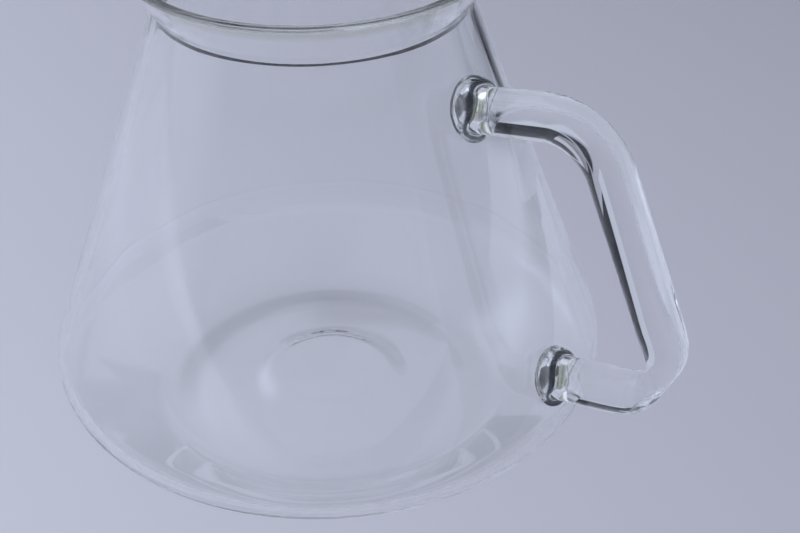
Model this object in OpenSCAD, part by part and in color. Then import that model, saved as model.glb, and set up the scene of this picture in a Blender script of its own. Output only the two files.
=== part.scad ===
// Conical pour-over coffee server in clear borosilicate glass.
// A blown vessel with a flared collar, and a solid bent glass rod as its
// handle, flame-welded to the wall at two places with a bead of glass round
// each joint.  Millimetres, +Z up.  The origin is on the vessel's axis, on the
// plane that the foot ring stands on.  The handle lies in the XZ plane, at +X.

/* [Vessel] */
// Radius where the sloping base and the cone would meet if they weren't rounded
corner_radius = 61.7; // [56:0.1:68]
// Height of that meeting point above the table
corner_height = 12.5; // [9:0.1:16]
// Radius of the rounding between base and cone
corner_round = 7; // [5:0.5:8]
// Outside radius of the crease at the neck
neck_radius = 31.4; // [28:0.1:34]
// Height of the neck crease
neck_height = 97.4; // [92:0.1:104]
// Radius of the small hollow that rounds the crease on the outside
neck_round = 1.2; // [0.6:0.1:2]
// Thickness of the blown wall
wall = 2.0; // [1.6:0.1:2.6]

/* [Collar] */
// Outside radius of the rim
rim_radius = 37.0; // [35:0.1:40]
// Height of the widest line of the rim
rim_height = 106.6; // [105:0.1:112]
// Thickness of the collar and of its fire-polished rim
collar_wall = 1.7; // [1.5:0.1:3]

/* [Base] */
// Outside radius of the foot ring
foot_radius = 36.0; // [33:0.1:38]
// Width of the flat that the foot ring stands on
foot_width = 2.6; // [2:0.1:4]
// How far the middle of the base is pushed up
punt_rise = 2.2; // [1:0.1:3]
// Radius of the small round dimple in the middle of the base
dimple_radius = 14.6; // [10:0.1:18]
// How far the dimple rises above the rest of the base
dimple_rise = 1.0; // [0.4:0.1:1.6]
// Thickness of the glass in the base
base_wall = 2.8; // [2:0.1:3.6]

/* [Handle] */
// Diameter of the solid glass rod
rod_d = 9.4; // [8:0.1:10]
// How much thinner the rod is where it was bent
bend_thinning = 0.1; // [0.06:0.02:0.3]
// Height at which the rod's axis meets the cone, upper joint
upper_joint_height = 82.3; // [78:0.1:86]
// Height at which the rod's axis meets the cone, lower joint
lower_joint_height = 26.2; // [24:0.1:32]
// Distance of the upper bend's corner from the vessel's axis
upper_bend_x = 63.4; // [60:0.1:68]
// Height of the upper bend's corner
upper_bend_z = 87.3; // [84:0.1:90]
// Radius of the upper bend, to the rod's axis
upper_bend_r = 13.3; // [9:0.1:15]
// Distance of the lowest point of the straight grip from the vessel's axis
grip_end_x = 82.3; // [80:0.1:86]
// Height of the lowest point of the straight grip
grip_end_z = 40.8; // [39:0.1:44]
// Radius of the first lower bend, to the rod's axis
grip_bend_r = 11.0; // [8:0.1:11.5]
// Distance of the last bend's corner from the vessel's axis
lower_bend_x = 78.0; // [76:0.1:80]
// Height of the last bend's corner
lower_bend_z = 29.8; // [28:0.1:31]
// Radius of the last bend, to the rod's axis
lower_bend_r = 11.5; // [8:0.1:12]

/* [Weld beads] */
// Radius of the bead of glass round the upper joint
upper_bead_radius = 6.4; // [5.8:0.1:7.5]
// Radius of the bead of glass round the lower joint
lower_bead_radius = 6.1; // [5.8:0.1:7.5]
// How far a bead stands off the wall
bead_height = 3.0; // [2:0.1:4]
// Rounding of the bead's outer edge
bead_edge = 1.4; // [0.8:0.1:1.4]

/* [Hidden] */
$fn = 96;
glass = [0.80, 0.84, 0.86, 0.45];

// ---- plane geometry: points are [radius, height] ----
function unit(v) = v / norm(v);
// the outward normal of a line that runs upwards along direction u
function outward(u) = [u[1], -u[0]];
// where the line through p along u meets the line through q along v
function meet(p, u, q, v) =
    let (c = u[0] * v[1] - u[1] * v[0], w = q - p)
    p + u * ((w[0] * v[1] - w[1] * v[0]) / c);

foot_pt = [foot_radius, 0];
corner_pt = [corner_radius, corner_height];
neck_pt = [neck_radius, neck_height];
rim_pt = [rim_radius, rim_height];
base_dir = unit(corner_pt - foot_pt);
cone_dir = unit(neck_pt - corner_pt);
collar_dir = unit(rim_pt - neck_pt);

// The outline's corners, moved inwards by d from the outer skin.
function corner_at(d) =
    meet(corner_pt - outward(base_dir) * d, base_dir,
         corner_pt - outward(cone_dir) * d, cone_dir);
function neck_at(d, e) =
    meet(neck_pt - outward(cone_dir) * d, cone_dir,
         neck_pt - outward(collar_dir) * e, collar_dir);
// Centre of the rounding between base and cone; it is the same for both skins.
round_c = corner_at(corner_round);
// Where that rounding touches the base line and the cone line of a skin.
function touch_base(d) = round_c + outward(base_dir) * (corner_round - d);
function touch_cone(d) = round_c + outward(cone_dir) * (corner_round - d);
// Radius of the cone's outer skin at height z.
function cone_r(z) =
    corner_radius + (z - corner_height) * cone_dir[0] / cone_dir[1];

// A circle whose top is at height z on the axis and which passes through
// radius r at height z - rise: a shallow dome.
function dome_r(r, rise) = (r * r + rise * rise) / (2 * rise);
module dome(z, r, rise) {
    translate([0, z - dome_r(r, rise)])
        circle(r = dome_r(r, rise), $fn = 720);
}

// The pushed-up middle of the base, and the dimple in it, with their tops
// raised by up: 0 for the underside, the base's thickness for the floor.
module punt(up) {
    inner = foot_radius - foot_width;
    big = dome_r(inner, punt_rise);
    drop = big - sqrt(big * big - dimple_radius * dimple_radius);
    dome(punt_rise + up, inner, punt_rise);
    dome(punt_rise + dimple_rise + up, dimple_radius, dimple_rise + drop);
}

// Half section of everything inside the outer skin, with no hollow.
module outer_half() {
    lip = rim_pt - outward(collar_dir) * (collar_wall / 2);
    difference() {
        union() {
            polygon([[0, 0], foot_pt, touch_base(0), round_c, touch_cone(0),
                     neck_pt, rim_pt, lip, [0, lip[1]]]);
            translate(round_c) circle(r = corner_round);
            translate(lip) circle(r = collar_wall / 2);
        }
        // the underside, pushed up inside the foot ring
        punt(0);
    }
}

// A small rounding in the corner of the crease, on the outside.
module neck_fillet() {
    a = neck_pt + outward(cone_dir) * neck_round;
    b = neck_pt + outward(collar_dir) * neck_round;
    c = meet(a, cone_dir, b, collar_dir);
    difference() {
        polygon([neck_pt - [1, 0], c - outward(cone_dir) * neck_round,
                 c - outward(collar_dir) * neck_round]);
        translate(c) circle(r = neck_round);
    }
}

// Half section of the space inside the vessel.
module hollow_half() {
    lip = rim_pt - outward(collar_dir) * (collar_wall / 2);
    inner_lip = lip - outward(collar_dir) * (collar_wall / 2);
    inner_neck = neck_at(wall, collar_wall);
    low = touch_base(wall) - base_dir * 60;
    difference() {
        union() {
            polygon([[0, low[1]], low, touch_base(wall), round_c,
                     touch_cone(wall), inner_neck, inner_lip, lip,
                     lip + [0, 10], [0, lip[1] + 10]]);
            translate(round_c) circle(r = corner_round - wall);
        }
        // the floor follows the pushed-up base
        punt(base_wall);
        // the rim's round top stays
        translate(lip) circle(r = collar_wall / 2);
    }
}

module half_plane() {
    translate([0, -20]) square([120, 200]);
}

// Everything inside the vessel's outer skin, as one solid.
module vessel_block() {
    rotate_extrude($fn = 180) intersection() {
        union() { outer_half(); neck_fillet(); }
        half_plane();
    }
}

module vessel() {
    color(glass) rotate_extrude($fn = 180) intersection() {
        difference() {
            union() { outer_half(); neck_fillet(); }
            hollow_half();
        }
        half_plane();
    }
}

// ---- the bent rod: straight pieces and round bends in the XZ plane ----
upper_pt = [cone_r(upper_joint_height), upper_joint_height];
lower_pt = [cone_r(lower_joint_height), lower_joint_height];
rod_pts = [upper_pt, [upper_bend_x, upper_bend_z], [grip_end_x, grip_end_z],
           [lower_bend_x, lower_bend_z], lower_pt];
rod_bends = [0, upper_bend_r, grip_bend_r, lower_bend_r, 0];

function heading(i) = unit(rod_pts[i + 1] - rod_pts[i]);
function angle_of(v) = atan2(v[1], v[0]);
// how far the path turns at point i, clockwise, in degrees
function turn(i) =
    let (t = angle_of(heading(i - 1)) - angle_of(heading(i)))
    t < 0 ? t + 360 : t;
function setback(i) =
    (i == 0 || i == len(rod_pts) - 1) ? 0 : rod_bends[i] * tan(turn(i) / 2);

module along(p, v) {
    // puts +Z of its child along v, starting at p, both in the XZ plane
    translate([p[0], 0, p[1]]) rotate([0, 90 - angle_of(v), 0]) children();
}

// Each straight piece runs a little way into the thinner bends.
lap = 0.5;
module straight(i, start_extra = lap, end_extra = lap) {
    a = rod_pts[i] + heading(i) * (setback(i) - start_extra);
    b = rod_pts[i + 1] - heading(i) * (setback(i + 1) - end_extra);
    along(a, heading(i)) cylinder(d = rod_d, h = norm(b - a));
}

module bend(i) {
    // a piece of a ring that starts where straight i - 1 ends
    s = rod_pts[i] - heading(i - 1) * setback(i);
    inward = [heading(i - 1)[1], -heading(i - 1)[0]];
    c = s + inward * rod_bends[i];
    translate([c[0], 0, c[1]])
        rotate([90, 0, 0])
            rotate([0, 0, angle_of(-inward) - turn(i)])
                rotate_extrude(angle = turn(i))
                    translate([rod_bends[i], 0])
                        circle(d = rod_d - bend_thinning);
}

module rod_solid() {
    straight(0, start_extra = 8);
    bend(1);
    straight(1);
    bend(2);
    straight(2);
    bend(3);
    straight(3, end_extra = 8);
}

module handle_rod() {
    color(glass) difference() {
        rod_solid();
        vessel_block();
    }
}

// A bead of glass on the wall, round the rod's end.
module bead(p, radius) {
    difference() {
        along(p, outward(cone_dir)) rotate_extrude() union() {
            translate([0, -3]) square([radius, 3 + bead_height - bead_edge]);
            square([radius - bead_edge, bead_height]);
            translate([radius - bead_edge, bead_height - bead_edge])
                circle(r = bead_edge);
        }
        vessel_block();
        rod_solid();
    }
}

module upper_weld_bead() {
    color(glass) bead(upper_pt, upper_bead_radius);
}

module lower_weld_bead() {
    color(glass) bead(lower_pt, lower_bead_radius);
}

vessel();
handle_rod();
upper_weld_bead();
lower_weld_bead();
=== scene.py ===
# Conical glass coffee server: a blown vessel, a bent solid glass rod as its handle,
# and the two gathers of glass that weld the rod to the wall.
import math

import bmesh
import bpy
import numpy as np
from mathutils import Matrix, Vector, noise


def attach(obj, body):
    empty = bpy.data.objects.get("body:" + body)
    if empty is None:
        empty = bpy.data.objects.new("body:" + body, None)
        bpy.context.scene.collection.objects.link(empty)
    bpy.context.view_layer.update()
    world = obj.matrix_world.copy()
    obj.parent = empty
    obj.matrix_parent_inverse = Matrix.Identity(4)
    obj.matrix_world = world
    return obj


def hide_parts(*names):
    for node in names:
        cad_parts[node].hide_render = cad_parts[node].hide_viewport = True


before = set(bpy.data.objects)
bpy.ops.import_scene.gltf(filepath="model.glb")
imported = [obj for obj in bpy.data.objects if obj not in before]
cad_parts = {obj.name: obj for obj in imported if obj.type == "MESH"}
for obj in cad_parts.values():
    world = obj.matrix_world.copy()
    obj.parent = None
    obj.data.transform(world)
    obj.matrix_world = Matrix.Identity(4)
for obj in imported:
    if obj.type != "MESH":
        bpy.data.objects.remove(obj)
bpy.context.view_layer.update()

MM = 0.001

# ---------------------------------------------------------------- camera
# The view was solved in a frame with the handle 37.62 degrees to the right of the
# object's near side; TURN brings it into the part's frame, handle along +X.
TURN = math.radians(37.62)


def turned(x, y, z):
    return Vector((x * math.cos(TURN) - y * math.sin(TURN),
                   x * math.sin(TURN) + y * math.cos(TURN), z))


cam_right = turned(0.99783558, -0.06378337, -0.01599516)
cam_up = turned(0.04907134, 0.56033697, 0.82680982)
cam_forward = turned(0.04377404, 0.82580516, -0.5622541)
cam_place = turned(0.0, -0.304589, 0.238674)

cam_data = bpy.data.cameras.new("photo_camera")
cam_data.lens = 75.73
cam_data.sensor_width = 36.0
cam_data.sensor_fit = "HORIZONTAL"
cam_data.clip_start, cam_data.clip_end = 0.01, 20.0
camera = bpy.data.objects.new("photo_camera", cam_data)
bpy.context.scene.collection.objects.link(camera)
axes = Matrix((cam_right, cam_up, -cam_forward)).transposed().to_4x4()
camera.matrix_world = Matrix.Translation(cam_place) @ axes
bpy.context.scene.camera = camera


# ---------------------------------------------------------------- profile of the vessel
# Points are (radius, height) in millimetres, in the same sizes as the CAD part.
CORNER = np.array((61.7, 12.5))
NECK = np.array((31.4, 97.4))
RIM = np.array((37.0, 106.6))
FOOT = np.array((36.0, 0.0))
WALL, COLLAR_WALL, BASE_WALL = 2.0, 1.7, 2.8
PUNT, DIMPLE, DIMPLE_R, DIMPLE_SOFT = 2.2, 1.0, 14.6, 3.0
FOOT_IN = 33.4


def unit(v):
    v = np.asarray(v, float)
    return v / np.linalg.norm(v)


def outward(u):
    return np.array((u[1], -u[0]))


BASE_DIR, CONE_DIR, COLLAR_DIR = unit(CORNER - FOOT), unit(NECK - CORNER), unit(RIM - NECK)


def meet(p, u, q, v):
    """Where the line through p along u meets the line through q along v."""
    c = u[0] * v[1] - u[1] * v[0]
    w = q - p
    return p + u * ((w[0] * v[1] - w[1] * v[0]) / c)


def cone_r(z):
    return CORNER[0] + (z - CORNER[1]) * CONE_DIR[0] / CONE_DIR[1]


def smooth(t):
    t = np.clip(t, 0.0, 1.0)
    return t * t * (3 - 2 * t)


def rounded(points, radii, steps, arc_step):
    """The polyline through points with each inner corner rounded by radii. steps[i] is the
    spacing along piece i, arc_step that along the arcs."""
    out = []
    last = np.array(points[0], float)
    for i in range(1, len(points)):
        q = np.array(points[i], float)
        p = np.array(points[i - 1], float)
        if i < len(points) - 1 and radii[i - 1] > 0:
            n = np.array(points[i + 1], float)
            u, v = unit(p - q), unit(n - q)
            ang = math.acos(max(-1.0, min(1.0, float(u @ v))))
            rad = radii[i - 1]
            t = rad / math.tan(ang / 2)
            centre = q + unit(u + v) * (rad / math.sin(ang / 2))
            s, e = q + u * t, q + v * t
        else:
            s = e = q
            centre = None
        count = max(1, int(round(np.linalg.norm(s - last) / steps[i - 1])))
        for k in range(count):
            out.append(last + (s - last) * (k / count))
        if centre is not None:
            a0 = math.atan2(*(s - centre)[::-1])
            a1 = math.atan2(*(e - centre)[::-1])
            da = (a1 - a0 + math.pi) % (2 * math.pi) - math.pi
            count = max(4, int(round(abs(da) * rad / arc_step)))
            for k in range(count):
                a = a0 + da * k / count
                out.append(centre + rad * np.array((math.cos(a), math.sin(a))))
        last = e
    out.append(last)
    return np.array(out)


# The foot ring is one soft round of radius FOOT_ROUND between the shallow dome and the
# sloping base. It touches the table on the circle FOOT_C.
FOOT_ROUND = 15.0
_t = FOOT_ROUND * math.tan(math.atan2(BASE_DIR[1], BASE_DIR[0]) / 2)
FOOT_C = FOOT[0] - _t
FOOT_TURN = math.atan(2 * PUNT / (FOOT_C - 1.5))  # where the round meets the dome
FOOT_JOIN = np.array((FOOT_C - FOOT_ROUND * math.sin(FOOT_TURN), FOOT_ROUND * (1 - math.cos(FOOT_TURN))))


def under(r):
    """Height of the pushed-up underside at radius r: a shallow dome with a small round
    dimple in its middle."""
    r = np.asarray(r, float)
    k = math.tan(FOOT_TURN) / (2 * FOOT_JOIN[0])
    dome = FOOT_JOIN[1] + k * (FOOT_JOIN[0] ** 2 - r ** 2)
    dent = DIMPLE * smooth((DIMPLE_R + DIMPLE_SOFT - r) / (2 * DIMPLE_SOFT))
    return dome + dent


def vessel_profile():
    # outside, from the middle of the underside out and up to the rim
    d0, d1 = DIMPLE_R - DIMPLE_SOFT, DIMPLE_R + DIMPLE_SOFT
    r = np.concatenate([np.linspace(0, d0, 10)[:-1], np.linspace(d0, d1, 19)[:-1], np.linspace(d1, FOOT_JOIN[0], 14)])
    dome = np.stack([r, under(r)], 1)
    slope = math.atan2(BASE_DIR[1], BASE_DIR[0])
    arc = [np.array((FOOT_C + FOOT_ROUND * math.sin(a), FOOT_ROUND * (1 - math.cos(a))))
           for a in np.linspace(-FOOT_TURN, slope, 18)]
    foot = rounded([arc[-1], CORNER, NECK, RIM], [8.0, 1.3], [1.2, 0.72, 0.6], 0.3)
    foot = np.vstack([arc[:-1], foot])
    lip_c = RIM - outward(COLLAR_DIR) * COLLAR_WALL / 2
    a0 = math.atan2(*outward(COLLAR_DIR)[::-1])
    lip = [lip_c + COLLAR_WALL / 2 * np.array((math.cos(a0 + math.pi * k / 16), math.sin(a0 + math.pi * k / 16)))
           for k in range(17)]
    # inside, from the lip down to the middle of the floor
    inner_neck = meet(NECK - outward(CONE_DIR) * WALL, CONE_DIR, NECK - outward(COLLAR_DIR) * COLLAR_WALL, COLLAR_DIR)
    inner_corner = meet(CORNER - outward(BASE_DIR) * WALL, BASE_DIR, CORNER - outward(CONE_DIR) * WALL, CONE_DIR)
    rr = FOOT[0] + 0.3
    foot_corner = np.array((rr, WALL / BASE_DIR[0] + (rr - FOOT[0]) * BASE_DIR[1] / BASE_DIR[0]))
    floor_end = np.array((FOOT_IN - 5.0, float(under(FOOT_IN - 5.0)) + BASE_WALL))
    inside = rounded([lip[-1], inner_neck, inner_corner, foot_corner, floor_end],
                     [2.4, 6.0, 13.0], [0.6, 0.9, 1.2, 0.8], 0.35)
    r = np.concatenate([np.linspace(FOOT_IN - 5.0, d1, 12)[1:-1], np.linspace(d1, d0, 19)[:-1], np.linspace(d0, 0, 10)])
    floor = np.stack([r, under(r) + BASE_WALL], 1)
    parts = [dome[:-1], foot[:-1], np.array(lip)[:-1], inside, floor]
    return np.vstack(parts), len(dome) - 1 + len(foot) - 1


# ---------------------------------------------------------------- welds
class Weld:
    """Where the rod meets the wall, with its own axes: side (along Y), up the wall and
    straight out of the wall."""

    def __init__(self, z, radius):
        self.z, self.radius = z, radius
        self.c = np.array((cone_r(z), 0.0, z))
        self.up = np.array((CONE_DIR[0], 0.0, CONE_DIR[1]))
        o = outward(CONE_DIR)
        self.out = np.array((o[0], 0.0, o[1]))
        self.side = np.array((0.0, 1.0, 0.0))

    def lift(self, a, b):
        """How far along out the wall lies from the tangent plane at (side a, up b)."""
        a, b = np.broadcast_arrays(np.asarray(a, float), np.asarray(b, float))
        h = np.zeros(a.shape)
        for _ in range(6):
            p = self.c + a[..., None] * self.side + b[..., None] * self.up + h[..., None] * self.out
            d = (np.hypot(p[..., 0], p[..., 1]) - cone_r(p[..., 2])) * CONE_DIR[1]
            h = h - d
        return h

    def point(self, a, b, h):
        a, b, h = np.broadcast_arrays(np.asarray(a, float), np.asarray(b, float), np.asarray(h, float))
        return self.c + a[..., None] * self.side + b[..., None] * self.up + h[..., None] * self.out


UPPER = Weld(82.3, 6.15)
LOWER = Weld(26.2, 5.9)


# ---------------------------------------------------------------- mesh helpers
def make_object(name, verts, faces, slots=None, smooth_faces=True):
    me = bpy.data.meshes.new(name)
    me.from_pydata([tuple(v) for v in np.asarray(verts) * MM], [], [tuple(int(i) for i in f) for f in faces])
    me.update()
    ob = bpy.data.objects.new(name, me)
    bpy.context.scene.collection.objects.link(ob)
    if slots is not None:
        me.polygons.foreach_set("material_index", np.asarray(slots, np.int32))
    if smooth_faces:
        me.polygons.foreach_set("use_smooth", np.ones(len(me.polygons), bool))
    me.validate()
    return ob


def wobble(x, y, z, size, seed):
    return noise.noise(Vector((x / size + seed * 17.3, y / size - seed * 9.1, z / size + seed * 4.7)))


# ---------------------------------------------------------------- vessel
def build_vessel():
    prof, outer_count = vessel_profile()
    # columns: closer together near the handle, where the welds are
    near = np.radians(np.arange(-18.0, 18.01, 0.8))
    far_count = 150
    far = near[-1] + (2 * math.pi - (near[-1] - near[0])) * np.arange(1, far_count) / far_count
    theta = np.concatenate([near, far])
    zero = int(np.argmin(np.abs(theta)))
    n, m = len(prof), len(theta)
    r = prof[:, 0][:, None] * np.ones(m)
    z = prof[:, 1][:, None] * np.ones(m)
    # the blown inside isn't perfectly even: long, faint streaks of thicker and thinner glass
    for i in range(outer_count + 17, n):
        if prof[i, 0] < 20:
            continue
        amp = 0.07 * smooth((prof[i, 0] - 20) / 12)
        for j in range(m):
            t = theta[j]
            w = wobble(math.cos(t) * 40, math.sin(t) * 40, prof[i, 1] * 0.22, 9.0, 1)
            w += 0.5 * wobble(math.cos(t) * 40, math.sin(t) * 40, prof[i, 1] * 0.5, 16.0, 2)
            r[i, j] += amp * w
    x = r * np.cos(theta)
    y = r * np.sin(theta)
    co = np.stack([x, y, z], -1)
    slot = np.zeros((n - 1, m), np.int32)
    # fit the mesh to each weld's round footprint on the outer skin
    for weld, half_in, half_out in ((UPPER, 12, 18), (LOWER, 7, 12)):
        rows = [i for i in range(outer_count) if CORNER[1] + 8 < prof[i, 1] < NECK[1] - 2 and prof[i, 0] > 30]
        i0 = min(rows, key=lambda i: abs(prof[i, 1] - weld.z))
        for di in range(-half_out, half_out + 1):
            for dj in range(-half_out, half_out + 1):
                i, j = i0 + di, (zero + dj) % m
                d = co[i, j] - weld.c
                a_reg, b_reg = float(d @ weld.side), float(d @ weld.up)
                k = max(abs(di), abs(dj))
                if k == 0:
                    ca, cb = 0.0, 0.0
                else:
                    if abs(dj) >= abs(di):
                        ang = (math.pi / 4) * di / abs(dj)
                        sx, sy = math.copysign(math.cos(ang), dj), math.sin(ang)
                    else:
                        ang = (math.pi / 4) * dj / abs(di)
                        sx, sy = math.sin(ang), math.copysign(math.cos(ang), di)
                    ca, cb = weld.radius * k / half_in * sx, weld.radius * k / half_in * sy
                w = 0.0 if k <= half_in else float(smooth((k - half_in) / (half_out - half_in)))
                a, b = ca * (1 - w) + a_reg * w, cb * (1 - w) + b_reg * w
                co[i, j] = weld.point(a, b, weld.lift(a, b))
        for di in range(-half_in, half_in):
            for dj in range(-half_in, half_in):
                slot[i0 + di, (zero + dj) % m] = 1
    # join the first and last rings into single points on the axis
    verts = [co[0, 0], *co[1:-1].reshape(-1, 3), co[-1, 0]]
    last = len(verts) - 1

    def vid(i, j):
        if i == 0:
            return 0
        if i == n - 1:
            return last
        return 1 + (i - 1) * m + j % m

    faces, slots = [], []
    for i in range(n - 1):
        for j in range(m):
            q = [vid(i, j), vid(i, j + 1), vid(i + 1, j + 1), vid(i + 1, j)]
            q = [a for k, a in enumerate(q) if a != q[k - 1]]
            faces.append(q)
            slots.append(slot[i, j])
    return make_object("vessel_glass", verts, faces, slots)


# ---------------------------------------------------------------- handle rod
def arc_path(points, radii, step):
    return rounded(points, radii, [step] * (len(points) - 1), step)


ROD_R = 4.72
PATH_POINTS = [(UPPER.c[0], UPPER.z), (63.43, 87.3), (82.31, 40.79), (78.03, 29.79), (LOWER.c[0], LOWER.z)]
PATH_RADII = [13.33, 11.0, 11.0]


def rod_path():
    path = arc_path(PATH_POINTS, PATH_RADII, 0.55)
    s = np.concatenate([[0], np.cumsum(np.linalg.norm(np.diff(path, axis=0), axis=1))])
    return path, s


# Outline of each gather: (radius, height above the wall), from the wall to where it
# runs out on the rod: a broad foot on the wall and one crease.
UPPER_GATHER = [(0.0, 0.0), (0.34, 0.5), (0.38, 1.1), (0.15, 1.75), (-0.45, 2.25), (-1.1, 2.65), (-1.5, 3.1), (-1.58, 3.65),
                (-1.5, 4.3), (-1.44, 5.0)]
LOWER_GATHER = [(0.0, 0.0), (0.32, 0.5), (0.34, 1.1), (0.1, 1.7), (-0.45, 2.15), (-0.95, 2.55), (-1.28, 3.0), (-1.3, 3.55),
                (-1.22, 4.2), (-1.18, 4.9)]


def curve_through(points, count):
    """A smooth line through the given points, evenly spaced by length."""
    p = np.array(points, float)
    ext = np.vstack([2 * p[0] - p[1], p, 2 * p[-1] - p[-2]])
    out = []
    for i in range(1, len(ext) - 2):
        for t in np.linspace(0, 1, 12, endpoint=False):
            a, b, c, d = ext[i - 1], ext[i], ext[i + 1], ext[i + 2]
            out.append(0.5 * (2 * b + (c - a) * t + (2 * a - 5 * b + 4 * c - d) * t * t + (3 * b - a - 3 * c + d) * t ** 3))
    out.append(p[-1])
    out = np.array(out)
    s = np.concatenate([[0], np.cumsum(np.linalg.norm(np.diff(out, axis=0), axis=1))])
    q = np.linspace(0, s[-1], count)
    return np.stack([np.interp(q, s, out[:, k]) for k in range(out.shape[1])], 1)


AROUND = 96
ANGLES = 2 * math.pi * np.arange(AROUND) / AROUND


class RodEnd:
    """The part of the rod inside a gather, in the weld's own axes."""

    def __init__(self, weld, heading, outline, lean):
        # heading: direction of the rod away from the wall, in the XZ plane
        # lean: how far the gather's top leans off the wall, and its bottom towards it
        self.weld, self.lean = weld, lean
        h = np.array((heading[0], 0.0, heading[1]))
        self.drift = float(h @ weld.up) / float(h @ weld.out)  # how far it climbs for each mm out
        self.outline = curve_through([(weld.radius + a, b) for a, b in outline], 44)
        self.top = float(self.outline[-1, 1])
        self.top_r = float(self.outline[-1, 0])

    def ring(self, rho, h, gap=0.0):
        # a gather isn't turned on a lathe: its crease lies askew round the rod
        part = float(smooth(h / (0.75 * self.top)) * (1 - smooth((h - self.top) / 6)))
        h = h + self.lean * part * np.sin(2.4 * (np.sin(ANGLES) + 0.1))
        a = rho * np.cos(ANGLES)
        b = rho * np.sin(ANGLES) + self.drift * h
        fade = np.maximum(0.0, 1.0 - h / self.top)
        return self.weld.point(a, b, h + self.weld.lift(a, b) * fade + gap)


path2d, path_s = rod_path()
head_up = unit(np.array(PATH_POINTS[1]) - np.array(PATH_POINTS[0]))
head_low = unit(np.array(PATH_POINTS[3]) - np.array(PATH_POINTS[4]))
UPPER_END = RodEnd(UPPER, head_up, UPPER_GATHER, 2.1)
LOWER_END = RodEnd(LOWER, head_low, LOWER_GATHER, 2.1)


def build_rod():
    total = path_s[-1]
    cos_u = float(np.array((head_up[0], 0, head_up[1])) @ UPPER.out)
    cos_l = float(np.array((head_low[0], 0, head_low[1])) @ LOWER.out)
    s_up, s_low = UPPER_END.top / cos_u, total - LOWER_END.top / cos_l
    mid = (np.array(PATH_POINTS[2]) + np.array(PATH_POINTS[3])) / 2
    s_mid = path_s[int(np.argmin(np.linalg.norm(path2d - mid, axis=1)))]

    def place(s):
        p = np.array([np.interp(s, path_s, path2d[:, k]) for k in (0, 1)])
        e = 0.6
        q0 = np.array([np.interp(s - e, path_s, path2d[:, k]) for k in (0, 1)])
        q1 = np.array([np.interp(s + e, path_s, path2d[:, k]) for k in (0, 1)])
        return p, unit(q1 - q0)

    def swept(s, rad, flat=0.0):
        p, t = place(s)
        nrm = np.array((-t[1], t[0]))  # to the left of the heading: the outside of the bends
        c = np.array((p[0], 0.0, p[1]))
        n3 = np.array((nrm[0], 0.0, nrm[1]))
        y3 = np.array((0.0, 1.0, 0.0))
        # sin > 0 is up/outside at the upper weld
        return c + (rad * np.cos(ANGLES))[:, None] * y3 + ((rad - flat) * np.sin(ANGLES))[:, None] * n3

    rings, slots = [], []
    # inside the upper gather
    for h in np.linspace(0, UPPER_END.top, 12):
        rings.append(UPPER_END.ring(UPPER_END.top_r, h, 0.0 if h > 0 else 0.012))
        slots.append(1)
    # between the welds
    seg = np.arange(s_up + 0.5, s_low - 0.4, 0.55)
    for s in seg:
        base = ROD_R + (UPPER_END.top_r - ROD_R) * math.exp(-((s - s_up) / 7.0) ** 2)
        rad = base + (LOWER_END.top_r - ROD_R) * math.exp(-((s_low - s) / 6.0) ** 2)
        pinch = 2.05 * math.exp(-((s - s_mid) / 6.0) ** 2)
        ring = swept(s, rad - pinch * 0.35, pinch * 0.65)
        wu = 1 - float(smooth((s - s_up) / 6.0))
        if wu > 0:
            ring = ring * (1 - wu) + UPPER_END.ring(rad, UPPER_END.top + (s - s_up) * cos_u) * wu
        wl = 1 - float(smooth((s_low - s) / 6.0))
        if wl > 0:
            low = LOWER_END.ring(rad, LOWER_END.top + (s_low - s) * cos_l)
            low = low[mirror_index]
            ring = ring * (1 - wl) + low * wl
        rings.append(ring)
        slots.append(0)
    for h in np.linspace(LOWER_END.top, 0, 12):
        ring = LOWER_END.ring(LOWER_END.top_r, h, 0.0 if h > 0 else 0.012)
        rings.append(ring[mirror_index])
        slots.append(1)
    rings = np.array(rings)
    k = len(rings)
    verts = list(rings.reshape(-1, 3))
    faces, fs = [], []
    for i in range(k - 1):
        fused = 1 if (slots[i] == 1 and slots[i + 1] == 1) else 0
        for j in range(AROUND):
            j2 = (j + 1) % AROUND
            faces.append([i * AROUND + j, i * AROUND + j2, (i + 1) * AROUND + j2, (i + 1) * AROUND + j])
            fs.append(fused)
    # end faces follow the wall
    for ring_no, end in ((0, UPPER_END), (k - 1, LOWER_END)):
        prev = ring_no * AROUND
        base = rings[ring_no]
        count = 4
        prev_ids = [prev + j for j in range(AROUND)]
        for q in range(1, count):
            f = 1 - q / count
            d = base - end.weld.c
            a, b = (d @ end.weld.side) * f, (d @ end.weld.up) * f
            pts = end.weld.point(a, b, end.weld.lift(a, b) + 0.012)
            ids = [len(verts) + j for j in range(AROUND)]
            verts.extend(list(pts))
            for j in range(AROUND):
                j2 = (j + 1) % AROUND
                quad = [prev_ids[j], ids[j], ids[j2], prev_ids[j2]]
                faces.append(quad if ring_no == 0 else quad[::-1])
                fs.append(1)
            prev_ids = ids
        centre = len(verts)
        verts.append(end.weld.point(0.0, 0.0, 0.012))
        for j in range(AROUND):
            j2 = (j + 1) % AROUND
            tri = [prev_ids[j], centre, prev_ids[j2]]
            faces.append(tri if ring_no == 0 else tri[::-1])
            fs.append(1)
    return make_object("handle_rod_glass", verts, faces, fs)


# At the lower weld the path runs into the wall, so "outside of the bend" is down there:
# the same point of a ring has its angle mirrored.
mirror_index = np.array([(-j) % AROUND for j in range(AROUND)])


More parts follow.
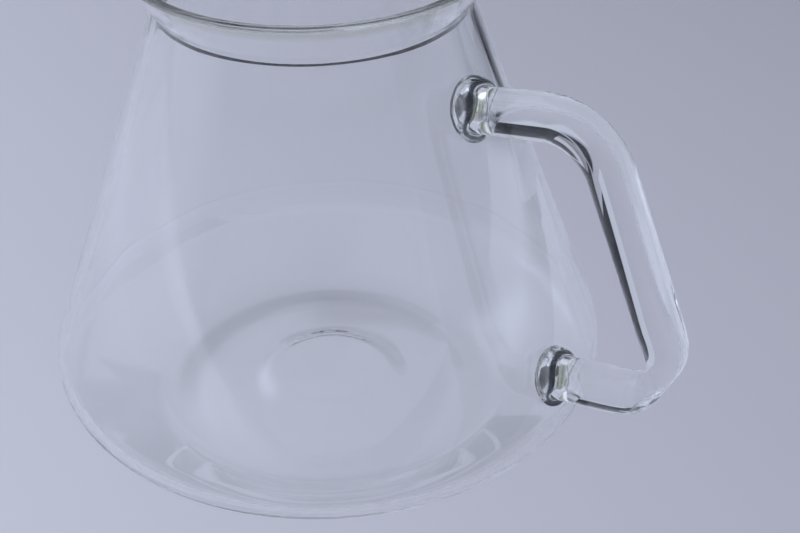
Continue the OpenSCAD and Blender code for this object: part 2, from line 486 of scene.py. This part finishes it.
def build_gather(name, end, painted_under_shade):
    gap = 0.012
    rings, slots = [], []
    prof = end.outline
    melt = []
    for i, (rho, h) in enumerate(prof):
        t = i / (len(prof) - 1)
        rings.append(end.ring(rho, h, gap if i == 0 else 0.0))
        slots.append(0)
        # painted shade: on the underside, near the wall, the colour runs into the grey and near-black band
        low = painted_under_shade * smooth((-np.sin(ANGLES) - 0.05) / 0.5) * smooth(t / 0.06)
        melt += list(np.maximum(t, low))
    # down the hole, round the rod, a hair away from it
    for h in np.linspace(end.top, 0, 12)[1:]:
        rings.append(end.ring(end.top_r + 0.012, h, gap if h == 0 else 0.0))
        slots.append(1)
    rings = np.array(rings)
    k = len(rings)
    verts = list(rings.reshape(-1, 3))
    faces, fs = [], []
    for i in range(k - 1):
        for j in range(AROUND):
            j2 = (j + 1) % AROUND
            faces.append([i * AROUND + j, i * AROUND + j2, (i + 1) * AROUND + j2, (i + 1) * AROUND + j])
            fs.append(1 if i >= len(prof) - 1 else 0)
    # the ring that lies on the wall
    rho_in, rho_out = end.top_r + 0.012, prof[0, 0]
    prev = [(k - 1) * AROUND + j for j in range(AROUND)]
    for q in range(1, 4):
        f = q / 3
        if f < 1:
            rho = rho_in + (rho_out - rho_in) * f
            pts = end.ring(rho, 0.0, gap)
            ids = [len(verts) + j for j in range(AROUND)]
            verts.extend(list(pts))
        else:
            ids = list(range(AROUND))
        for j in range(AROUND):
            j2 = (j + 1) % AROUND
            faces.append([prev[j], prev[j2], ids[j2], ids[j]])
            fs.append(1)
        prev = ids
    ob = make_object(name, verts, faces, fs)
    # how far along the gather a point lies, for its colour, raised on the underside into the painted shade
    melt += [0.0] * (len(ob.data.vertices) - len(melt))
    ob.data.attributes.new("melt", "FLOAT", "POINT").data.foreach_set("value", melt)
    return ob


vessel = build_vessel()
rod = build_rod()
# the last number sets how deep the painted shade under each gather goes
gather_up = build_gather("upper_weld_glass", UPPER_END, 0.375)
gather_low = build_gather("lower_weld_glass", LOWER_END, 0.46)


def face_out(ob):
    bm = bmesh.new()
    bm.from_mesh(ob.data)
    bmesh.ops.recalc_face_normals(bm, faces=bm.faces)
    if bm.calc_volume(signed=True) < 0:
        bmesh.ops.reverse_faces(bm, faces=bm.faces)
    open_edges = sum(1 for e in bm.edges if len(e.link_faces) != 2)
    volume = bm.calc_volume(signed=True)
    bm.to_mesh(ob.data)
    bm.free()
    print(f"PIECE {ob.name}: {len(ob.data.polygons)} faces, {open_edges} open edges, {volume * 1e9:.0f} mm3")


for piece in (vessel, rod, gather_up, gather_low):
    face_out(piece)


# ---------------------------------------------------------------- materials
def new_material(name):
    mat = bpy.data.materials.new(name)
    mat.use_nodes = True
    nt = mat.node_tree
    nt.nodes.clear()
    return mat, nt


def node(nt, kind, **inputs):
    n = nt.nodes.new(kind)
    for k, v in inputs.items():
        n.inputs[k.replace("_", " ")].default_value = v
    return n


def glass_material(name, seed, rim_tint=False, melt=None):
    mat, nt = new_material(name)
    out = node(nt, "ShaderNodeOutputMaterial")
    p = node(nt, "ShaderNodeBsdfPrincipled")
    p.inputs["Transmission Weight"].default_value = 1.0
    p.inputs["IOR"].default_value = 1.473
    p.inputs["Specular IOR Level"].default_value = 0.5
    nt.links.new(p.outputs[0], out.inputs["Surface"])
    place = node(nt, "ShaderNodeTexCoord")
    shift = node(nt, "ShaderNodeMapping")
    shift.inputs["Location"].default_value = (seed * 0.013, -seed * 0.027, seed * 0.011)
    nt.links.new(place.outputs["Object"], shift.inputs["Vector"])
    # colour: almost clear, a breath of green, a little deeper in soft drifting patches
    drift = node(nt, "ShaderNodeTexNoise", Scale=28.0, Detail=3.0, Roughness=0.5)
    nt.links.new(shift.outputs[0], drift.inputs["Vector"])
    ramp = node(nt, "ShaderNodeValToRGB")
    ramp.color_ramp.elements[0].position, ramp.color_ramp.elements[1].position = 0.3, 0.75
    ramp.color_ramp.elements[0].color = (0.984, 0.989, 0.990, 1)
    ramp.color_ramp.elements[1].color = (0.996, 0.998, 0.998, 1)
    nt.links.new(drift.outputs["Fac"], ramp.inputs["Fac"])
    colour = ramp.outputs["Color"]
    if rim_tint:
        # the thick fire-polished rim shows more of the glass's own colour
        split = node(nt, "ShaderNodeSeparateXYZ")
        nt.links.new(place.outputs["Object"], split.inputs[0])
        high = node(nt, "ShaderNodeMapRange")
        high.inputs["From Min"].default_value = 0.1042
        high.inputs["From Max"].default_value = 0.1058
        nt.links.new(split.outputs["Z"], high.inputs["Value"])
        mix = node(nt, "ShaderNodeMix")
        mix.data_type = "RGBA"
        mix.inputs[7].default_value = (0.86, 0.875, 0.80, 1)
        nt.links.new(high.outputs[0], mix.inputs[0])
        nt.links.new(colour, mix.inputs[6])
        colour = mix.outputs[2]
    if melt:
        # in the crease the melted glass is thick and folded: a painted near-black band stands for the dark line seen in
        # the fold, then the glass's own green
        along_it = node(nt, "ShaderNodeAttribute")
        along_it.attribute_name = "melt"
        uneven = node(nt, "ShaderNodeTexNoise", Scale=320.0, Detail=2.0)
        nt.links.new(shift.outputs[0], uneven.inputs["Vector"])
        sway = node(nt, "ShaderNodeMapRange")
        sway.inputs["To Min"].default_value, sway.inputs["To Max"].default_value = -0.05, 0.05
        nt.links.new(uneven.outputs["Fac"], sway.inputs["Value"])
        add = node(nt, "ShaderNodeMath")
        add.operation = "ADD"
        nt.links.new(along_it.outputs["Fac"], add.inputs[0])
        nt.links.new(sway.outputs[0], add.inputs[1])
        fold = node(nt, "ShaderNodeValToRGB")
        while len(fold.color_ramp.elements) < len(melt):
            fold.color_ramp.elements.new(0.5)
        for e, (pos, c) in zip(fold.color_ramp.elements, melt):
            e.position, e.color = pos, (*c, 1)
        nt.links.new(add.outputs[0], fold.inputs["Fac"])
        both = node(nt, "ShaderNodeMix")
        both.data_type, both.blend_type = "RGBA", "MULTIPLY"
        both.inputs[0].default_value = 1.0
        nt.links.new(colour, both.inputs[6])
        nt.links.new(fold.outputs["Color"], both.inputs[7])
        colour = both.outputs[2]
    nt.links.new(colour, p.inputs["Base Color"])
    # gloss: clean, with faint handling marks
    marks = node(nt, "ShaderNodeTexNoise", Scale=95.0, Detail=5.0, Roughness=0.6)
    nt.links.new(shift.outputs[0], marks.inputs["Vector"])
    rough = node(nt, "ShaderNodeMapRange")
    rough.inputs["From Min"].default_value, rough.inputs["From Max"].default_value = 0.5, 0.85
    rough.inputs["To Min"].default_value, rough.inputs["To Max"].default_value = 0.0, 0.035
    nt.links.new(marks.outputs["Fac"], rough.inputs["Value"])
    nt.links.new(rough.outputs[0], p.inputs["Roughness"])
    # surface: the long, very shallow waves of hand-worked glass
    stretch = node(nt, "ShaderNodeMapping")
    stretch.inputs["Scale"].default_value = (1.0, 1.0, 0.3)
    nt.links.new(shift.outputs[0], stretch.inputs["Vector"])
    waves = node(nt, "ShaderNodeTexNoise", Scale=60.0, Detail=1.5, Roughness=0.4)
    nt.links.new(stretch.outputs[0], waves.inputs["Vector"])
    bump = node(nt, "ShaderNodeBump", Strength=0.06, Distance=0.0006)
    nt.links.new(waves.outputs["Fac"], bump.inputs["Height"])
    nt.links.new(bump.outputs[0], p.inputs["Normal"])
    return mat


def fused_material():
    """The places inside the glass where two pieces are melted together: nothing shows."""
    mat, nt = new_material("fused_joint")
    out = node(nt, "ShaderNodeOutputMaterial")
    p = node(nt, "ShaderNodeBsdfPrincipled")
    p.inputs["Alpha"].default_value = 0.0
    p.inputs["Roughness"].default_value = 0.0
    nt.links.new(p.outputs[0], out.inputs["Surface"])
    return mat


# the near-black colour here is painted shade for the dark line in the weld creases; the green is the glass's own colour
CLEAR, PAINTED_CREASE_SHADE, GREEN = (1.0, 1.0, 1.0), (0.008, 0.010, 0.014), (0.40, 0.44, 0.25)
body_glass = glass_material("clear_blown_glass", 1, rim_tint=True)
rod_glass = glass_material("clear_rod_glass", 2)
weld_glass = glass_material("melted_glass", 3, melt=[
    (0.0, CLEAR), (0.34, CLEAR), (0.41, PAINTED_CREASE_SHADE), (0.54, PAINTED_CREASE_SHADE), (0.58, (0.85, 0.88, 0.85)), (0.63, GREEN), (0.80, GREEN),
    (0.85, CLEAR)])
fused = fused_material()
for piece, mat in ((vessel, body_glass), (rod, rod_glass), (gather_up, weld_glass), (gather_low, weld_glass)):
    piece.data.materials.clear()
    piece.data.materials.append(mat)
    piece.data.materials.append(fused)

for piece, cad in ((vessel, "vessel"), (rod, "handle_rod"), (gather_up, "upper_weld_bead"), (gather_low, "lower_weld_bead")):
    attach(piece, "root")
    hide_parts(cad)
    # clear glass on a broad soft light throws next to no shadow
    piece.visible_shadow = False
    piece.visible_diffuse = False


# ---------------------------------------------------------------- stage
# Directions as the camera sees them: R to its right, B away from it, along the floor.
R = Vector((cam_right.x, cam_right.y, 0)).normalized()
B = Vector((cam_forward.x, cam_forward.y, 0)).normalized()

FLOOR = [(r, 0.0) for r in np.linspace(0.0, 1.25, 26)]
SWEEP = [FLOOR[-1]] + [(1.25 + 0.32 * math.sin(math.radians(80) * k / 14), 0.32 * (1 - math.cos(math.radians(80) * k / 14)))
                       for k in range(1, 15)]
SWEEP.append((SWEEP[-1][0] + 0.012, SWEEP[-1][1] + 0.07))


def build_floor(name, prof):
    m = 96
    verts, faces = [], []
    for r, z in prof:
        for j in range(m):
            t = 2 * math.pi * j / m
            verts.append((r * math.cos(t), r * math.sin(t), z))
    for i in range(len(prof) - 1):
        for j in range(m):
            a, b = i * m, (i + 1) * m
            faces.append([a + j, b + j, b + (j + 1) % m, a + (j + 1) % m])
    me = bpy.data.meshes.new(name)
    me.from_pydata(verts, [], faces)
    me.polygons.foreach_set("use_smooth", np.ones(len(me.polygons), bool))
    ob = bpy.data.objects.new(name, me)
    bpy.context.scene.collection.objects.link(ob)
    mat, nt = new_material("pale_paper")
    out = node(nt, "ShaderNodeOutputMaterial")
    p = node(nt, "ShaderNodeBsdfPrincipled", Roughness=0.75)
    p.inputs["Specular IOR Level"].default_value = 0.15
    nt.links.new(p.outputs[0], out.inputs["Surface"])
    place = node(nt, "ShaderNodeTexCoord")
    grain = node(nt, "ShaderNodeTexNoise", Scale=2.2, Detail=2.0)
    nt.links.new(place.outputs["Object"], grain.inputs["Vector"])
    ramp = node(nt, "ShaderNodeValToRGB")
    ramp.color_ramp.elements[0].position, ramp.color_ramp.elements[1].position = 0.25, 0.8
    ramp.color_ramp.elements[0].color = (0.565, 0.590, 0.735, 1)
    ramp.color_ramp.elements[1].color = (0.590, 0.620, 0.760, 1)
    nt.links.new(grain.outputs["Fac"], ramp.inputs["Fac"])
    # the soft contact shade under the foot ring, deeper towards the light's far side
    split = node(nt, "ShaderNodeSeparateXYZ")
    nt.links.new(place.outputs["Object"], split.inputs[0])
    flat = node(nt, "ShaderNodeCombineXYZ")
    nt.links.new(split.outputs["X"], flat.inputs["X"])
    nt.links.new(split.outputs["Y"], flat.inputs["Y"])
    radius = node(nt, "ShaderNodeVectorMath")
    radius.operation = "LENGTH"
    nt.links.new(flat.outputs[0], radius.inputs[0])
    ring = node(nt, "ShaderNodeMapRange")
    ring.inputs["From Min"].default_value, ring.inputs["From Max"].default_value = 0.022, 0.062
    nt.links.new(radius.outputs["Value"], ring.inputs["Value"])
    shade = node(nt, "ShaderNodeValToRGB")
    shade.color_ramp.interpolation = "B_SPLINE"
    steps = ((0.0, 0.97), (0.16, 0.97), (0.22, 0.72), (0.31, 0.70), (0.37, 0.92), (0.6, 0.95), (1.0, 1.0))
    while len(shade.color_ramp.elements) < len(steps):
        shade.color_ramp.elements.new(0.5)
    for e, (pos, v) in zip(shade.color_ramp.elements, steps):
        e.position, e.color = pos, (v, v, v, 1)
    nt.links.new(ring.outputs[0], shade.inputs["Fac"])
    # it is deepest on the side away from the camera and to the left
    side = node(nt, "ShaderNodeVectorMath")
    side.operation = "DOT_PRODUCT"
    side.inputs[1].default_value = tuple((B * 0.77 - R * 0.64).normalized())
    aim = node(nt, "ShaderNodeVectorMath")
    aim.operation = "NORMALIZE"
    nt.links.new(flat.outputs[0], aim.inputs[0])
    nt.links.new(aim.outputs[0], side.inputs[0])
    deep = node(nt, "ShaderNodeMapRange")
    deep.interpolation_type = "SMOOTHSTEP"
    deep.inputs["From Min"].default_value, deep.inputs["From Max"].default_value = 0.25, 0.92
    deep.inputs["To Min"].default_value, deep.inputs["To Max"].default_value = 0.15, 1.0
    nt.links.new(side.outputs["Value"], deep.inputs["Value"])
    tone = node(nt, "ShaderNodeMix")
    tone.data_type, tone.blend_type = "RGBA", "MULTIPLY"
    nt.links.new(deep.outputs[0], tone.inputs[0])
    nt.links.new(ramp.outputs["Color"], tone.inputs[6])
    nt.links.new(shade.outputs["Color"], tone.inputs[7])
    nt.links.new(tone.outputs[2], p.inputs["Base Color"])
    me.materials.append(mat)
    return ob


build_floor("studio_floor", FLOOR)
wall = build_floor("studio_sweep", SWEEP)
# past the floor the glass sees the soft studio light around the set
wall.visible_glossy = wall.visible_transmission = False


def area_light(name, place, aim, size, power, colour=(1, 1, 1), size_y=None):
    data = bpy.data.lights.new(name, "AREA")
    data.energy, data.color, data.size = power, colour, size
    if size_y:
        data.shape, data.size_y = "RECTANGLE", size_y
    ob = bpy.data.objects.new(name, data)
    bpy.context.scene.collection.objects.link(ob)
    ob.location = place
    ob.rotation_mode = "QUATERNION"
    ob.rotation_quaternion = (Vector(place) - Vector(aim)).to_track_quat("Z", "Y")
    return ob


def at(right, back, up):
    v = R * right + B * back
    return (v.x, v.y, up)


def soft_light(name, place, size, power):
    """A soft light for the floor. The glass reflects the panels below and not the lights."""
    ob = area_light(name, place, (0, 0, 0), size, power, size_y=size)
    ob.visible_glossy = False
    ob.visible_transmission = False
    return ob


soft_light("key_left", at(-0.9, -0.4, 0.72), 0.9, 20)
soft_light("top_soft", at(0.1, 0.1, 1.6), 1.2, 2.0)


def card(name, corners, colour, glow=1.0, mirrored=True, through=True, soft=0.0):
    """A studio card beside the set that only the glass sees: a dark flag, which gives the
    glass its dark lines, or a soft bright panel. corners are (right, back, height) from the
    object; mirrored and through say whether it shows in reflections and by refraction;
    soft is how much of it, from each edge, fades out."""
    n = 1 if soft == 0 else 24
    grid = [Vector(at(*c)) for c in corners]
    verts, fade, faces = [], [], []
    for i in range(n + 1):
        for j in range(n + 1):
            u, v = i / n, j / n
            verts.append((grid[0] * (1 - u) + grid[1] * u) * (1 - v) + (grid[3] * (1 - u) + grid[2] * u) * v)
            f = 1.0 if soft == 0 else float(smooth(min(u, 1 - u) / soft) * smooth(min(v, 1 - v) / soft))
            fade.append(f)
    for i in range(n):
        for j in range(n):
            a = i * (n + 1) + j
            faces.append((a, a + n + 1, a + n + 2, a + 1))
    me = bpy.data.meshes.new(name)
    me.from_pydata(verts, [], faces)
    me.attributes.new("fade", "FLOAT", "POINT").data.foreach_set("value", fade)
    ob = bpy.data.objects.new(name, me)
    bpy.context.scene.collection.objects.link(ob)
    mat, nt = new_material(name)
    out = node(nt, "ShaderNodeOutputMaterial")
    n = node(nt, "ShaderNodeEmission", Strength=glow)
    n.inputs["Color"].default_value = (*colour, 1)
    mat.cycles.emission_sampling = "NONE"
    if soft:
        clear = node(nt, "ShaderNodeBsdfTransparent")
        edge = node(nt, "ShaderNodeAttribute")
        edge.attribute_name = "fade"
        mix = node(nt, "ShaderNodeMixShader")
        nt.links.new(edge.outputs["Fac"], mix.inputs[0])
        nt.links.new(clear.outputs[0], mix.inputs[1])
        nt.links.new(n.outputs[0], mix.inputs[2])
        nt.links.new(mix.outputs[0], out.inputs["Surface"])
    else:
        nt.links.new(n.outputs[0], out.inputs["Surface"])
    me.materials.append(mat)
    ob.visible_camera = ob.visible_diffuse = ob.visible_shadow = False
    ob.visible_glossy, ob.visible_transmission = mirrored, through
    return ob


def upright(name, a, b, low, high, colour, **more):
    return card(name, [(*a, low), (*b, low), (*b, high), (*a, high)], colour, **more)


def flat(name, r0, r1, b0, b1, colour, height=0.0006, **more):
    return card(name, [(r0, b0, height), (r1, b0, height), (r1, b1, height), (r0, b1, height)], colour, **more)


FLAG = (0.003, 0.004, 0.007)
PALE = (0.92, 1.0, 1.22)
# dark, seen through the glass: past the table's right and back edges
flat("flag_table_right", 0.150, 0.75, -0.25, 0.115, FLAG, height=0.0012, mirrored=False)
flat("flag_table_right_far", 0.23, 0.75, 0.115, 0.30, FLAG, height=0.0012, mirrored=False)
flat("flag_table_spot", 0.100, 0.212, 0.158, 0.292, FLAG, height=0.0012, mirrored=False, soft=0.16)
upright("flag_right", (0.34, 0.25), (0.34, -0.25), 0.0, 0.45, FLAG, mirrored=False)
flat("flag_far_table", 0.062, 0.180, 0.335, 0.60, FLAG, height=0.0012, mirrored=False)
upright("flag_far_low", (0.050, 0.6), (0.180, 0.6), 0.0, 0.155, FLAG, mirrored=False)
upright("flag_far_high", (0.095, 0.6), (0.180, 0.6), 0.155, 0.31, FLAG, mirrored=False)
upright("flag_far_right", (0.17, 0.6), (0.62, 0.6), 0.150, 0.40, FLAG, mirrored=False)
upright("flag_low_back", (-0.11, 0.40), (0.060, 0.38), 0.0, 0.08, FLAG, mirrored=False)
upright("flag_mid_back", (-0.07, 0.45), (0.12, 0.45), 0.10, 0.24, FLAG, mirrored=False, soft=0.3)
flat("flag_table_back", -0.16, 0.055, 0.222, 0.37, FLAG, mirrored=False)
# pale edges of the table beside them
flat("strip_right", 0.114, 0.149, -0.15, 0.12, PALE, glow=0.50, mirrored=False)
flat("strip_back", 0.062, 0.100, 0.135, 0.33, PALE, glow=0.50, mirrored=False, soft=0.1)
# bright, seen in the glass's gloss: the window side on the left, and its bounce on the right
upright("panel_left", (-0.75, 0.15), (-0.22, 0.62), 0.10, 0.75, PALE, glow=1.7, soft=0.3)
flat("bounce_left", -0.75, -0.12, -0.55, 0.22, PALE, glow=0.95, through=False, soft=0.22)
flat("bounce_right", 0.03, 0.75, -0.55, 0.20, PALE, glow=0.85, through=False, soft=0.18)
flat("bounce_grip", 0.20, 0.66, -0.10, 0.19, PALE, height=0.002, glow=1.8, through=False, soft=0.2)
flat("shade_right", 0.10, 1.0, 0.20, 0.75, FLAG, height=0.001, through=False, soft=0.1)
upright("bounce_right_up", (0.62, 0.3), (0.62, -0.6), -0.05, 0.28, PALE, glow=0.85, through=False, soft=0.2)

# What the glass sees beyond the floor: a soft pale studio.
world = bpy.data.worlds.new("studio")
bpy.context.scene.world = world
world.use_nodes = True
wt = world.node_tree
wn = wt.nodes["Background"]
look = node(wt, "ShaderNodeTexCoord")
height = node(wt, "ShaderNodeSeparateXYZ")
wt.links.new(look.outputs["Generated"], height.inputs[0])


def along(axis):
    n = node(wt, "ShaderNodeVectorMath")
    n.operation = "DOT_PRODUCT"
    n.inputs[1].default_value = axis
    wt.links.new(look.outputs["Generated"], n.inputs[0])
    return n.outputs["Value"]


turn = node(wt, "ShaderNodeMath")
turn.operation = "ARCTAN2"
wt.links.new(along(R), turn.inputs[0])
wt.links.new(along(B), turn.inputs[1])
share = node(wt, "ShaderNodeMapRange")
share.inputs["From Min"].default_value, share.inputs["From Max"].default_value = -math.pi, math.pi
wt.links.new(turn.outputs[0], share.inputs["Value"])


def around(steps):
    """A grey level by direction, in degrees from straight away, to the right."""
    ramp = node(wt, "ShaderNodeValToRGB")
    while len(ramp.color_ramp.elements) < len(steps):
        ramp.color_ramp.elements.new(0.5)
    for e, (deg, v) in zip(ramp.color_ramp.elements, steps):
        e.position, e.color = (deg + 180) / 360, (v * 0.93, v * 1.0, v * 1.2, 1)
    wt.links.new(share.outputs[0], ramp.inputs["Fac"])
    return ramp.outputs["Color"]


low = around([(-180, 0.50), (-122, 0.52), (-105, 0.85), (-70, 0.85), (-50, 0.50), (0, 0.46), (30, 0.42), (110, 0.52),
              (180, 0.50)])
high = around([(-180, 0.80), (-100, 0.9), (-60, 0.85), (-40, 0.55), (30, 0.50), (100, 0.65), (180, 0.80)])
rise = node(wt, "ShaderNodeMapRange")
rise.interpolation_type = "SMOOTHSTEP"
rise.inputs["From Min"].default_value, rise.inputs["From Max"].default_value = 0.42, 0.62
wt.links.new(height.outputs["Z"], rise.inputs["Value"])
blend = node(wt, "ShaderNodeMix")
blend.data_type = "RGBA"
wt.links.new(rise.outputs[0], blend.inputs[0])
wt.links.new(low, blend.inputs[6])
wt.links.new(high, blend.inputs[7])
wt.links.new(blend.outputs[2], wn.inputs["Color"])
wn.inputs["Strength"].default_value = 1.0
world.cycles_visibility.diffuse = False

scene = bpy.context.scene
scene.view_settings.view_transform = "Standard"
scene.view_settings.look = "None"
scene.view_settings.exposure = 0.0
scene.cycles.max_bounces = 60
scene.cycles.transmission_bounces = 60
scene.cycles.glossy_bounces = 44
scene.cycles.diffuse_bounces = 4
scene.cycles.transparent_max_bounces = 48
scene.cycles.caustics_refractive = False
scene.cycles.caustics_reflective = False
scene.cycles.blur_glossy = 0.0
scene.cycles.use_denoising = True
scene.cycles.sample_clamp_indirect = 6.0
